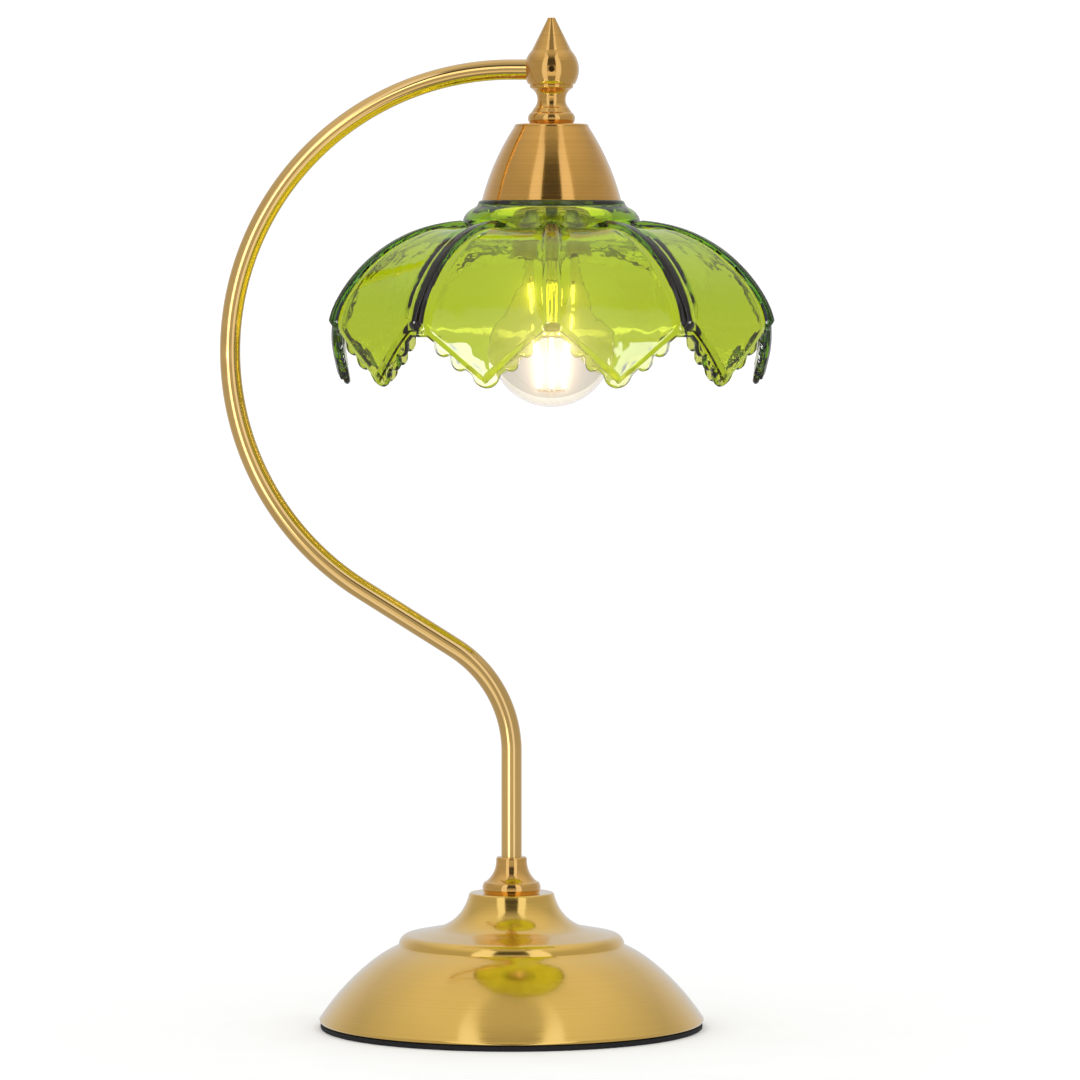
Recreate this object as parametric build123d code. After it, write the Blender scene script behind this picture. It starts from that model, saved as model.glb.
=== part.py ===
"""Table lamp: a domed base, a bowed tube arm and a petal glass shade over an E27 filament lamp.

Millimetres, Z up. The origin is on the table, on the axis of the stem. The arm bows out to -X,
the head hangs at +X, and the front of the lamp faces -Y.
"""
import os
from math import asin, cos, degrees, radians, sin, tan

from build123d import *

# Base: a spun shell on a glued pad, seen from outside.
pad_thickness = 2.5
base_radius = 94.0
base_height = 66.3
top_disc_radius = 20.9
top_disc_round = 1.2
flare_spread = 3.9
flare_drop = 9.6
flare_radius = 38.0
ledge_radius = 55.2
ledge_height = 45.9
ledge_rise = 2.5
lip_reach = 4.3
lip_drop = 5.2
dome_step = 1.0
dome_drop = 6.0
dome_bulge = 3.2
rim_roll = 2.0
rim_hem = 4.0
shell_wall = 0.9
pad_inset = 0.6

# Ballast inside the base.
weight_radius = 55.0
weight_thickness = 18.0
weight_lift = 3.5
boss_radius = 18.0
boss_top_radius = 15.0
nut_recess_radius = 13.0
nut_seat_height = 22.0

# Collar and arm.
collar_height = 17.5
collar_bead_radius = 14.2
collar_bead_height = 5.2
collar_neck_radius = 7.6
collar_seat_depth = 12.0
tube_diameter = 10.0
tube_wall = 1.0
bow_radius = 137.0
bow_centre_height = 330.5
arm_slope = 32.3
lower_bend_radius = 60.0

# Head: ball, neck, cup and finial on one vertical axis.
head_offset = 19.5
ball_radius = 13.4
ball_top_cut = 9.3
ball_foot_cut = 7.0
neck_length = 26.3
neck_waist_radius = 7.0
neck_bead_radius = 11.5
neck_bead_height = 5.6
finial_height = 15.9
finial_tip_radius = 2.0
finial_tip_round = 0.6
finial_stud_length = 3.6
tube_reach = 6.5
cup_height = 37.2
cup_top_radius = 18.2
cup_radius = 34.0
cup_bulge = 1.6
cup_wall = 1.0

# Threads, as plain cylinders with a small gap between the mating diameters.
thread_gap = 0.05
base_nipple_diameter = 8.0
base_nipple_bore = 5.2
head_nipple_diameter = 10.0
head_nipple_bore = 7.0
nut_thickness = 4.0
base_nut_flats = 13.0
cup_nut_flats = 14.0
washer_thickness = 1.0
set_screw_diameter = 3.0
set_screw_flats = 1.5

# Fits between plain pieces, per side.
slip = 0.05
clearance = 0.2

# E27 lampholder with an outside thread, and the ring that carries the shade.
skirt_radius = 19.5
skirt_wall = 2.5
skirt_drop = 25.5
holder_depth = 10.5
block_thickness = 6.0
cap_rim = 3.0
holder_cap_height = 11.0
screw_shell_radius = 13.4
screw_shell_wall = 0.5
screw_shell_length = 28.5
ring_radius = 27.0
ring_thickness = 5.5
thread_pitch = 2.5
thread_depth = 0.5
plunger_radius = 2.0
plunger_head_radius = 4.0
plunger_head = 1.5
wire_diameter = 2.2
wire_spacing = 2.6

# Filament lamp, A60 on an E27 cap.
bulb_radius = 30.0
bulb_length = 106.0
bulb_above_cup_rim = 5.5
bulb_wall = 0.8
bulb_cap_radius = 13.1
bulb_cap_wall = 0.4
bulb_cap_length = 24.0
bulb_thread_pitch = 3.63
bulb_thread_depth = 0.9
bulb_neck_radius = 12.6
filament_radius = 0.9
filament_length = 52.0
filament_foot_circle = 6.0
filament_head_circle = 10.0
filament_foot = 9.5

# Shade: ten pressed glass panels between raised ribs, with beads along the lower edge.
petal_count = 10
glass_thickness = 5.0
panel_start = 39.5
panel_radius = 70.5
panel_top_drop = 11.6
turn_in_height = 60.0
turn_in_radius = 9.0
lip_slope = 11.0
notch_drop = 65.0
notch_half_width = 4.2
petal_point = 25.0
tip_bead_radius = 7.4
tip_bead_overhang = 0.3
edge_bead_radius = 3.9
edge_bead_start = 17.1
edge_bead_pitch = 10.5
edge_beads = 2
rib_radius = 4.2
rib_sink = 2.0
shade_collar_radius = 35.6
shade_bead_radius = 43.1

# Cord inlet in the rear of the base.
inlet_height = 12.0
inlet_radius = 3.75
bushing_radius = 5.0
bushing_flange_radius = 7.0
bushing_flange = 1.5

# Heights and radii that follow from the sizes above.
tube_radius = tube_diameter / 2
tube_bore = tube_radius - tube_wall
arm_height = bow_centre_height + bow_radius
neck_foot = arm_height - neck_length
cup_rim = neck_foot - cup_height
stem_foot = base_height + collar_height - collar_seat_depth
base_thread = base_nipple_diameter / 2
head_thread = head_nipple_diameter / 2
weight_foot = pad_thickness + weight_lift
block_foot = cup_rim + holder_depth
block_top = block_foot + block_thickness
skirt_top = block_top + cap_rim
skirt_foot = cup_rim - skirt_drop
holder_top = skirt_top + holder_cap_height
bulb_tip = cup_rim + bulb_above_cup_rim
bulb_centre = bulb_tip - bulb_length + bulb_radius
wire_radius = wire_diameter / 2
half_petal = 180.0 / petal_count
shade_plate_foot = cup_rim - glass_thickness
ring_foot = shade_plate_foot - ring_thickness


def closed_face(*pieces):
    """A flat face bounded by edges given in order."""
    edges = []
    for piece in pieces:
        edges.extend(piece.edges())
    return Face(Wire(edges))


def turned(face, axis_x=0.0):
    """Spins a face drawn as (radius, height) about a vertical axis."""
    solid = revolve(Plane.XZ * face, Axis.Z)
    return Pos(axis_x, 0, 0) * solid


def upright(radius, foot, top, axis_x=0.0):
    """A vertical cylinder between two heights."""
    middle = (foot + top) / 2
    return Pos(axis_x, 0, middle) * Cylinder(radius, top - foot)


def tube(radius, bore, foot, top, axis_x=0.0):
    """A vertical tube between two heights."""
    return upright(radius, foot, top, axis_x) - upright(bore, foot - 1, top + 1, axis_x)


def hex_nut(flats, bore, foot, top, axis_x=0.0):
    """A hexagon nut between two heights."""
    hexagon = RegularPolygon(flats / 2, 6, major_radius=False)
    body = Pos(axis_x, 0, foot) * extrude(hexagon, top - foot)
    return body - upright(bore, foot - 1, top + 1, axis_x)


def tooth_washer(radius, bore, foot, top, axis_x=0.0):
    """A lock washer with a toothed outer edge."""
    washer = tube(radius, bore, foot, top, axis_x)
    for angle in range(0, 360, 30):
        gap = Rot(0, 0, angle) * Pos(radius, 0, (foot + top) / 2) * Cylinder(0.8, top - foot + 1)
        washer -= Pos(axis_x, 0, 0) * gap
    return washer


def base_solid(inset):
    """The base as a solid body, with every face moved in by inset."""
    top = base_height - inset
    disc_edge = (top_disc_radius - top_disc_round - inset, top)
    flare_top = (top_disc_radius - inset, top - top_disc_round)
    flare_middle = (top_disc_radius + flare_spread - inset, base_height - flare_drop - inset)
    flare_foot = (flare_radius - inset, ledge_height + ledge_rise - inset)
    ledge_edge = (ledge_radius - lip_reach - inset, ledge_height - inset)
    ledge_way = (ledge_radius - lip_reach - flare_radius, -ledge_rise)
    lip_foot = (ledge_radius - inset, ledge_height - lip_drop - inset)
    dome_top = (ledge_radius + dome_step - inset, ledge_height - dome_drop - inset)
    roll = max(rim_roll, inset + 0.2)
    rim = (base_radius - inset, pad_thickness + roll)
    rim_foot = (base_radius - roll, pad_thickness + inset)
    face = closed_face(
        Line((0, top), disc_edge),
        RadiusArc(disc_edge, flare_top, top_disc_round),
        Spline(flare_top, flare_middle, flare_foot, tangents=[(0.25, -1), (1, -0.2)]),
        Line(flare_foot, ledge_edge),
        TangentArc(ledge_edge, lip_foot, tangent=ledge_way),
        Line(lip_foot, dome_top),
        SagittaArc(dome_top, rim, dome_bulge),
        RadiusArc(rim, rim_foot, roll - inset),
        Polyline(rim_foot, (0, pad_thickness + inset), (0, top)),
    )
    return turned(face)


def arm_edges():
    """The arm's centre line from the collar to the ball, as joined edges in the XZ plane."""
    lean = radians(arm_slope)
    bow_end = (-bow_radius * sin(lean), bow_centre_height - bow_radius * cos(lean))
    corner_height = bow_end[1] + bow_end[0] * tan(lean)
    tangent_length = lower_bend_radius * tan(radians(90 - arm_slope) / 2)
    bend_foot = (0, corner_height - tangent_length)
    bend_top = (-tangent_length * cos(lean), corner_height + tangent_length * sin(lean))
    return [
        Line((0, stem_foot), bend_foot),
        RadiusArc(bend_foot, bend_top, -lower_bend_radius),
        Line(bend_top, bow_end),
        CenterArc((0, bow_centre_height), bow_radius, 270 - arm_slope, arm_slope - 180),
    ]


def swept(radius, edges, side=0.0):
    """A round bar along joined edges drawn in the XZ plane, moved sideways along Y."""
    path = Pos(0, side, 0) * (Plane.XZ * Wire(edges))
    section = Plane(origin=path @ 0, z_dir=path % 0) * Circle(radius)
    return sweep(section, path=path)


def bulb_outline(inset):
    """The lamp's glass as a solid body up to its neck, with the wall moved in by inset."""
    radius = bulb_radius - inset
    shoulder = 38.0
    bottom = (0, bulb_centre - radius)
    side = (radius, bulb_centre)
    leave = (radius * cos(radians(shoulder)), bulb_centre + radius * sin(radians(shoulder)))
    neck = (bulb_neck_radius - inset, bulb_tip - bulb_cap_length - 2)
    top = (bulb_neck_radius - inset, bulb_tip - bulb_cap_length + 1.5)
    direction = (-sin(radians(shoulder)), cos(radians(shoulder)))
    face = closed_face(
        ThreePointArc(bottom, side, leave),
        Spline(leave, neck, tangents=[direction, (0, 1)]),
        Polyline(neck, top, (0, top[1]), bottom),
    )
    return turned(face, head_offset)


# Pad, shell and inlet bushing.
base_pad = upright(base_radius - pad_inset, 0, pad_thickness)

shell_outside = base_solid(0)
shell_inside = base_solid(shell_wall)
base_shell = shell_outside - shell_inside
rim_opening = base_radius - rim_roll - rim_hem
base_shell -= upright(rim_opening, pad_thickness - 1, pad_thickness + shell_wall + 0.01)
base_shell -= upright(base_thread + clearance, base_height - 5, base_height + 1)

rear = Pos(0, base_radius, inlet_height) * Rot(90, 0, 0)
base_shell -= rear * Cylinder(bushing_radius + slip, 40)

inlet_outer_end = base_radius + 2.0
inlet_inner_end = base_radius - 13.0
inlet_middle = Pos(0, (inlet_outer_end + inlet_inner_end) / 2, inlet_height) * Rot(90, 0, 0)
outer_flange = base_solid(-bushing_flange) - shell_outside
inner_flange = shell_inside - base_solid(shell_wall + bushing_flange)
flange_bar = rear * Cylinder(bushing_flange_radius, 40)
cord_bushing = inlet_middle * Cylinder(bushing_radius, inlet_outer_end - inlet_inner_end)
cord_bushing += outer_flange & flange_bar
cord_bushing += inner_flange & flange_bar
cord_bushing -= inlet_middle * Cylinder(inlet_radius, 60)

# Ballast: a disc with a pillar that carries the top of the shell.
pillar_top = base_height - shell_wall
weight_top = weight_foot + weight_thickness
weight_face = Polyline(
    (0, weight_foot),
    (weight_radius, weight_foot),
    (weight_radius, weight_top - 3),
    (weight_radius - 3, weight_top),
    (boss_radius, weight_top),
    (boss_top_radius, pillar_top),
    (0, pillar_top),
    (0, weight_foot),
)
base_weight = turned(closed_face(weight_face))
base_weight -= upright(base_thread + clearance, weight_foot - 1, pillar_top + 1)
base_weight -= upright(nut_recess_radius, weight_foot - 1, nut_seat_height)

# Wires leave the nipple through a channel in the ballast to the block in its pocket.
wire_level = weight_foot + 2.6
block_start = nut_recess_radius + 8.0
block_length = 18.0
block_width = 14.0
block_height = 9.0
pocket_roof = wire_level + 5.0
channel = Box(block_start, 9, 7, align=(Align.MIN, Align.CENTER, Align.MIN))
pocket = Box(block_length + 4, block_width + 4, 20, align=(Align.MIN, Align.CENTER, Align.MAX))
base_weight -= Pos(0, 0, weight_foot - 1) * channel
base_weight -= Pos(block_start - 1, 0, pocket_roof) * pocket

terminal_block = Box(block_length, block_width, block_height, align=(Align.MIN, Align.CENTER, Align.MAX))
terminal_block = Pos(block_start, 0, pocket_roof) * terminal_block
block_underside = pocket_roof - block_height
screw_places = []
for side in (-1, 1):
    for step in (0.25, 0.75):
        screw_places.append((block_start + block_length * step, side * block_width / 4))
terminal_screws = []
for place_x, place_y in screw_places:
    hole = Pos(place_x, place_y, block_underside + 2.5) * Cylinder(1.8, 6)
    terminal_block -= hole
    screw = Pos(place_x, place_y, block_underside + 3.0) * Cylinder(1.8 - slip, 5)
    slot = Pos(place_x, place_y, block_underside + 0.5) * Box(6, 0.6, 1.2)
    terminal_screws.append(screw - slot)

earth_place = Pos(-nut_recess_radius - 14, 0, weight_foot)
base_weight -= earth_place * Cylinder(2.0, 24)
earth_screw = earth_place * Pos(0, 0, 4.5) * Cylinder(2.0 - thread_gap, 11)
earth_screw += earth_place * Pos(0, 0, -1.1) * Cylinder(3.6, 2.2)
earth_screw -= earth_place * Pos(0, 0, -2.2) * Box(8, 0.8, 1.6)

# Collar, arm and the nipple that pulls them down on the base.
collar_top = base_height + collar_height
bead_top = base_height + collar_bead_height
collar_face = closed_face(
    Line((0, base_height), (collar_bead_radius - 0.6, base_height)),
    ThreePointArc(
        (collar_bead_radius - 0.6, base_height),
        (collar_bead_radius, base_height + collar_bead_height / 2),
        (collar_bead_radius - 0.9, bead_top),
    ),
    Line((collar_bead_radius - 0.9, bead_top), (collar_bead_radius - 1.7, bead_top + 0.2)),
    ThreePointArc(
        (collar_bead_radius - 1.7, bead_top + 0.2),
        (collar_neck_radius + 1.3, bead_top + 4.6),
        (collar_neck_radius, collar_top - 1.0),
    ),
    Polyline(
        (collar_neck_radius, collar_top - 1.0),
        (collar_neck_radius - 0.6, collar_top),
        (0, collar_top),
        (0, base_height),
    ),
)
stem_collar = turned(collar_face)
stem_collar -= upright(tube_radius + slip, stem_foot, collar_top + 1)
stem_collar -= upright(base_thread + clearance, base_height - 1, collar_top)

arm_end = head_offset + tube_reach
arm_path = arm_edges() + [Line((0, arm_height), (arm_end, arm_height))]
arm_tube = swept(tube_radius, arm_path) - swept(tube_bore, arm_path)
wire_window = upright(head_nipple_bore / 2, arm_height - tube_diameter, arm_height, head_offset)
arm_tube -= wire_window

nipple_foot = nut_seat_height - washer_thickness - nut_thickness - 2.0
base_nipple = tube(base_thread - thread_gap, base_nipple_bore / 2, nipple_foot, stem_foot + 14)
washer_foot = nut_seat_height - washer_thickness
base_washer = tooth_washer(9.0, base_thread + clearance, washer_foot, nut_seat_height)
base_nut = hex_nut(base_nut_flats, base_thread, washer_foot - nut_thickness, washer_foot)

# Ball with its neck, the finial on top and the screw that locks the tube.
ball_waist = arm_height - ball_foot_cut
ball_foot_radius = (ball_radius**2 - ball_foot_cut**2) ** 0.5
ball_top_radius = (ball_radius**2 - ball_top_cut**2) ** 0.5
ball_top = arm_height + ball_top_cut
elbow_face = closed_face(
    Line((0, ball_top), (ball_top_radius, ball_top)),
    ThreePointArc((ball_top_radius, ball_top), (ball_radius, arm_height), (ball_foot_radius, ball_waist)),
    Line((ball_foot_radius, ball_waist), (ball_foot_radius - 0.9, ball_waist - 0.3)),
    ThreePointArc(
        (ball_foot_radius - 0.9, ball_waist - 0.3),
        (ball_foot_radius - 0.9, ball_waist - 1.5),
        (ball_foot_radius - 1.9, ball_waist - 2.4),
    ),
    ThreePointArc(
        (ball_foot_radius - 1.9, ball_waist - 2.4),
        (neck_waist_radius, ball_waist - 8.6),
        (neck_waist_radius + 1.6, neck_foot + neck_bead_height + 2.0),
    ),
    Line(
        (neck_waist_radius + 1.6, neck_foot + neck_bead_height + 2.0),
        (neck_bead_radius - 1.6, neck_foot + neck_bead_height),
    ),
    ThreePointArc(
        (neck_bead_radius - 1.6, neck_foot + neck_bead_height),
        (neck_bead_radius, neck_foot + neck_bead_height / 2),
        (neck_bead_radius - 1.2, neck_foot),
    ),
    Polyline((neck_bead_radius - 1.2, neck_foot), (0, neck_foot), (0, ball_top)),
)
head_elbow = turned(elbow_face, head_offset)
arm_hole = Pos(arm_end - 15, 0, arm_height) * Rot(0, 90, 0) * Cylinder(tube_radius + slip, 30)
nipple_top = neck_foot + 15.0
head_elbow -= arm_hole
head_elbow -= upright(head_thread, neck_foot - 1, nipple_top, head_offset)
head_elbow -= upright(head_nipple_bore / 2, neck_foot, arm_height, head_offset)
finial_thread = 3.0
head_elbow -= upright(finial_thread, ball_top - finial_stud_length - 0.4, ball_top + 1, head_offset)
set_screw_radius = set_screw_diameter / 2
front = Pos(head_offset, 0, arm_height) * Rot(90, 0, 0)
head_elbow -= front * Cylinder(set_screw_radius, 40, align=(Align.CENTER, Align.CENTER, Align.MIN))

screw_length = ball_radius - tube_radius - 0.5
grub = Cylinder(set_screw_radius - thread_gap, screw_length, align=(Align.CENTER, Align.CENTER, Align.MIN))
socket = extrude(RegularPolygon(set_screw_flats / 2, 6, major_radius=False), 2.5)
arm_set_screw = front * Pos(0, 0, tube_radius) * (grub - Pos(0, 0, screw_length - 2.0) * socket)

finial_top = ball_top + finial_height
finial_face = closed_face(
    Polyline(
        (0, ball_top),
        (ball_top_radius, ball_top),
        (finial_tip_radius, finial_top - finial_tip_round),
    ),
    ThreePointArc(
        (finial_tip_radius, finial_top - finial_tip_round),
        (finial_tip_radius - 0.3 * finial_tip_round, finial_top - 0.3 * finial_tip_round),
        (finial_tip_radius - finial_tip_round, finial_top),
    ),
    Polyline((finial_tip_radius - finial_tip_round, finial_top), (0, finial_top), (0, ball_top)),
)
finial = turned(finial_face, head_offset)
finial += upright(finial_thread - thread_gap, ball_top - finial_stud_length, ball_top, head_offset)


def cup_solid(inset):
    """The cup as a solid body, with its faces moved in by inset."""
    shoulder = (cup_top_radius - inset, neck_foot - 1.4 - inset)
    top_edge = (cup_top_radius - 1.2 - inset, neck_foot - inset)
    rim = (cup_radius - inset, cup_rim)
    face = closed_face(
        Line((0, neck_foot - inset), top_edge),
        RadiusArc(top_edge, shoulder, 1.6),
        SagittaArc(shoulder, rim, cup_bulge),
        Polyline(rim, (0, cup_rim), (0, neck_foot - inset)),
    )
    return turned(face, head_offset)


cup = cup_solid(0) - cup_solid(cup_wall)
cup -= upright(head_thread + clearance, neck_foot - 5, neck_foot + 1, head_offset)

cup_ceiling = neck_foot - cup_wall
cup_nut_top = cup_ceiling - washer_thickness
cup_washer = tooth_washer(9.5, head_thread + clearance, cup_nut_top, cup_ceiling, head_offset)
cup_nut = hex_nut(cup_nut_flats, head_thread, cup_nut_top - nut_thickness, cup_nut_top, head_offset)
boss_foot = holder_top - 4.5
head_nipple_foot = boss_foot - 1.0
head_nipple_wall = head_thread - thread_gap
head_nipple = tube(head_nipple_wall, head_nipple_bore / 2, head_nipple_foot, nipple_top - 0.5, head_offset)

# Lampholder: cap, skirt, insulating block, screw shell and sprung centre contact.
skirt_bore = skirt_radius - skirt_wall
boss = 8.0
cap_face = closed_face(
    Polyline((0, block_top), (skirt_bore - slip, block_top), (skirt_bore - slip, skirt_top)),
    Line((skirt_bore - slip, skirt_top), (skirt_radius, skirt_top)),
    SagittaArc((skirt_radius, skirt_top), (boss + 1, boss_foot + 0.5), -3.0),
    Polyline((boss + 1, boss_foot + 0.5), (boss, holder_top), (0, holder_top), (0, block_top)),
)
cap_bore = skirt_bore - 2.5
hollow_face = closed_face(
    Polyline((0, block_top - 1), (cap_bore, block_top - 1), (cap_bore, skirt_top)),
    SagittaArc((cap_bore, skirt_top), (boss - 1, boss_foot - 1.2), -2.0),
    Polyline((boss - 1, boss_foot - 1.2), (0, boss_foot - 1.2), (0, block_top - 1)),
)
holder_cap = turned(cap_face, head_offset) - turned(hollow_face, head_offset)
holder_cap -= upright(head_thread, boss_foot - 5, holder_top + 1, head_offset)

holder_skirt = tube(skirt_radius, skirt_bore - 1.8, skirt_foot, skirt_top, head_offset)
holder_skirt -= upright(skirt_bore, block_foot, skirt_top + 1, head_offset)
groove_level = skirt_foot + 2.0
while groove_level < cup_rim:
    groove_floor = skirt_radius - thread_depth
    groove = tube(skirt_radius + 1, groove_floor, groove_level, groove_level + 1.2, head_offset)
    holder_skirt -= groove
    groove_level += thread_pitch

contact_block = upright(skirt_bore - slip, block_foot, block_top, head_offset)
contact_block -= upright(plunger_radius + slip, block_foot - 1, block_top + 1, head_offset)
shell_foot = block_foot - screw_shell_length
shell_outer = screw_shell_radius + screw_shell_wall
screw_shell = tube(shell_outer, screw_shell_radius, shell_foot, block_foot, head_offset)

plunger_head_top = bulb_tip + plunger_head
clip_foot = block_top + bulb_thread_pitch
contact_plunger = upright(plunger_head_radius, bulb_tip, plunger_head_top, head_offset)
contact_plunger += upright(plunger_radius, plunger_head_top, clip_foot + 1.0, head_offset)
contact_plunger += upright(plunger_radius + 1.0, clip_foot, clip_foot + 1.0, head_offset)
spring_radius = plunger_head_radius - 0.3
spring_bore = plunger_radius + 0.6
contact_spring = tube(spring_radius, spring_bore, plunger_head_top, block_foot, head_offset)

# Wires, side by side from the block in the base to the two posts on the lampholder's block.
post_reach = 9.0
post_top = block_top + 2.2
wire_bend = 6.0
terminal_posts = []
wires = []
for side in (-1, 1):
    offset = side * wire_spacing / 2
    foot_edges = [
        Line((block_start, wire_level), (wire_bend, wire_level)),
        RadiusArc((wire_bend, wire_level), (0, wire_level + wire_bend), wire_bend),
        Line((0, wire_level + wire_bend), (0, stem_foot)),
    ]
    head_edges = [
        Line((0, arm_height), (head_offset - wire_bend, arm_height)),
        RadiusArc((head_offset - wire_bend, arm_height), (head_offset, arm_height - wire_bend), wire_bend),
        Line((head_offset, arm_height - wire_bend), (head_offset, boss_foot)),
    ]
    run = swept(wire_radius, foot_edges + arm_edges() + head_edges, offset)
    post_side = side * post_reach
    tail_path = FilletPolyline(
        (head_offset, offset, boss_foot),
        (head_offset, offset, boss_foot - 2.6),
        (head_offset, post_side, post_top + 2.2),
        (head_offset, post_side, post_top),
        radius=1.2,
    )
    tail = sweep(Plane(origin=tail_path @ 0, z_dir=tail_path % 0) * Circle(wire_radius), path=tail_path)
    wires.append(run + tail)
    terminal_posts.append(Pos(0, post_side, 0) * upright(2.4, block_top, post_top, head_offset))

# Shade ring with a notched grip.
shade_ring = tube(ring_radius, skirt_radius + clearance, ring_foot, shade_plate_foot, head_offset)
for angle in range(0, 360, 20):
    dent = Rot(0, 0, angle) * Pos(ring_radius + 1.2, 0, ring_foot) * Cylinder(2.4, 2 * ring_thickness - 4)
    shade_ring -= Pos(head_offset, 0, 0) * dent

# One glass panel, drawn as (distance from the axis, height) and stretched sideways.
panel_top = cup_rim - panel_top_drop
panel_centre = (panel_start, panel_top - panel_radius)
bend_angle = degrees(asin((cup_rim - turn_in_height - panel_centre[1]) / panel_radius))
bend_way = (cos(radians(bend_angle)), sin(radians(bend_angle)))
bend_arm = panel_radius - turn_in_radius
bend_centre = (panel_centre[0] + bend_arm * bend_way[0], panel_centre[1] + bend_arm * bend_way[1])
lip_length = 32.0


def panel_line(depth):
    """One side of the panel: the bow, the turn at its foot and the straight lip, depth inside the glass."""
    bow = CenterArc(panel_centre, panel_radius - depth, 90, bend_angle - 90)
    foot = CenterArc(bend_centre, turn_in_radius - depth, bend_angle, -lip_slope - bend_angle)
    lip_end = (foot @ 1) + Vector(-sin(radians(lip_slope)), -cos(radians(lip_slope))) * lip_length
    return [bow, foot, Line(foot @ 1, lip_end)]


outside = panel_line(0)
inside = panel_line(glass_thickness)
panel_face = closed_face(
    *outside,
    Line(outside[2] @ 1, inside[2] @ 1),
    *inside,
    Line(inside[0] @ 0, outside[0] @ 0),
)
panel_reach = 2 * (panel_start + panel_radius)
panel_bar = extrude(Plane.XZ * panel_face, panel_reach, both=True)
wedge_side = panel_reach * tan(radians(half_petal))
wedge_face = Polyline((0, 0), (panel_reach, -wedge_side), (panel_reach, wedge_side), (0, 0))
wedge = Pos(0, 0, panel_top - 150) * extrude(closed_face(wedge_face), 200)

# The lower edge of a panel: a point in the middle, level ends at the notches, beads between.
notch_level = cup_rim - notch_drop
tip_level = notch_level - petal_point
edge_half = (bend_centre[0] + turn_in_radius) * tan(radians(half_petal)) - notch_half_width
edge_top = panel_top + 20
edge_points = [
    (-panel_reach / 2, edge_top),
    (-panel_reach / 2, notch_level),
    (-edge_half, notch_level),
    (0, tip_level),
    (edge_half, notch_level),
    (panel_reach / 2, notch_level),
    (panel_reach / 2, edge_top),
    (-panel_reach / 2, edge_top),
]
edge_sketch = closed_face(Polyline(*edge_points))
edge_sketch += Pos(0, tip_level + tip_bead_radius - tip_bead_overhang) * Circle(tip_bead_radius)
edge_run = (edge_half**2 + (notch_level - tip_level) ** 2) ** 0.5
for bead in range(edge_beads):
    share = (edge_bead_start + bead * edge_bead_pitch) / edge_run
    bead_height = tip_level + share * (notch_level - tip_level)
    for side in (-1, 1):
        edge_sketch += Pos(side * share * edge_half, bead_height) * Circle(edge_bead_radius)
edge_bar = extrude(Plane.YZ * edge_sketch, panel_reach)
petal = panel_bar & wedge & edge_bar

# A rib follows the line where two panels meet.
ridge = 1 / cos(radians(half_petal))
rib_points = []
for angle in (90, 52, bend_angle):
    reach = panel_radius - rib_sink
    distance = panel_centre[0] + reach * cos(radians(angle))
    rib_points.append((distance * ridge, panel_centre[1] + reach * sin(radians(angle))))
rib = swept(rib_radius, ThreePointArc(*rib_points).edges())

# The collar of the shade, clamped between the cup and the ring.
shade_hole = skirt_radius + 1.2
collar_step = cup_rim - 3.0
bead_level = cup_rim - 9.5
throat = shade_bead_radius - glass_thickness
shade_neck_face = closed_face(
    Polyline(
        (shade_hole, cup_rim),
        (shade_collar_radius - 0.8, cup_rim),
        (shade_collar_radius, cup_rim - 0.8),
    ),
    Line((shade_collar_radius, cup_rim - 0.8), (shade_collar_radius + 1.2, collar_step)),
    ThreePointArc(
        (shade_collar_radius + 1.2, collar_step),
        (shade_bead_radius - 1.6, collar_step - 3.4),
        (shade_bead_radius, bead_level),
    ),
    Polyline(
        (shade_bead_radius, bead_level),
        (shade_bead_radius, panel_top - glass_thickness / 2),
        (throat + 3, panel_top - glass_thickness),
        (throat, panel_top - glass_thickness + 1),
        (shade_collar_radius - 5, shade_plate_foot),
        (shade_hole, shade_plate_foot),
        (shade_hole, cup_rim),
    ),
)
sector = petal + (turned(shade_neck_face) & wedge)
for side in (-half_petal, half_petal):
    sector += (Rot(0, 0, side) * rib) & wedge
sectors = []
for number in range(petal_count):
    sectors.append(Rot(0, 0, -90 + (2 * number + 1) * half_petal) * sector)
glass_shade = Pos(head_offset, 0, 0) * sectors[0].fuse(*sectors[1:])

# Filament lamp.
bulb_glass = bulb_outline(0) - bulb_outline(bulb_wall)
bulb_glass -= upright(bulb_neck_radius - bulb_wall, bulb_tip - bulb_cap_length, bulb_tip, head_offset)
cap_foot = bulb_tip - bulb_cap_length - 2.5
cap_top = bulb_tip - 3.5
cap_hole = 8.0


def cap_side(inset):
    """The rolled wall of the lamp's cap, from its rim up to the insulator, moved in by inset."""
    crest = bulb_cap_radius - inset
    waves = []
    for step in range(9):
        wave_radius = crest - bulb_thread_depth * (step % 2)
        waves.append((wave_radius, cap_foot + 5.0 + step * bulb_thread_pitch / 2))
    shoulder = (crest - 2.5, cap_top - inset)
    skirt = Line((crest, cap_foot), waves[0]).edges()
    return skirt + Spline(*waves).edges() + Line(waves[-1], shoulder).edges()


outer_side = cap_side(0)
inner_side = cap_side(bulb_cap_wall)
cap_wall_face = closed_face(
    *outer_side,
    Polyline(
        outer_side[-1] @ 1,
        (cap_hole, cap_top),
        (cap_hole, cap_top - bulb_cap_wall),
        inner_side[-1] @ 1,
    ),
    *inner_side,
    Line(inner_side[0] @ 0, outer_side[0] @ 0),
)
bulb_cap = turned(cap_wall_face, head_offset)
insulator_face = Polyline(
    (0, cap_top - bulb_cap_wall),
    (cap_hole - slip, cap_top - bulb_cap_wall),
    (cap_hole - slip, cap_top),
    (cap_hole + 2, cap_top),
    (5.5, bulb_tip - 0.8),
    (0, bulb_tip - 0.8),
    (0, cap_top - bulb_cap_wall),
)
bulb_insulator = turned(closed_face(insulator_face), head_offset)
bulb_contact = upright(4.6, bulb_tip - 0.8, bulb_tip, head_offset)

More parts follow.
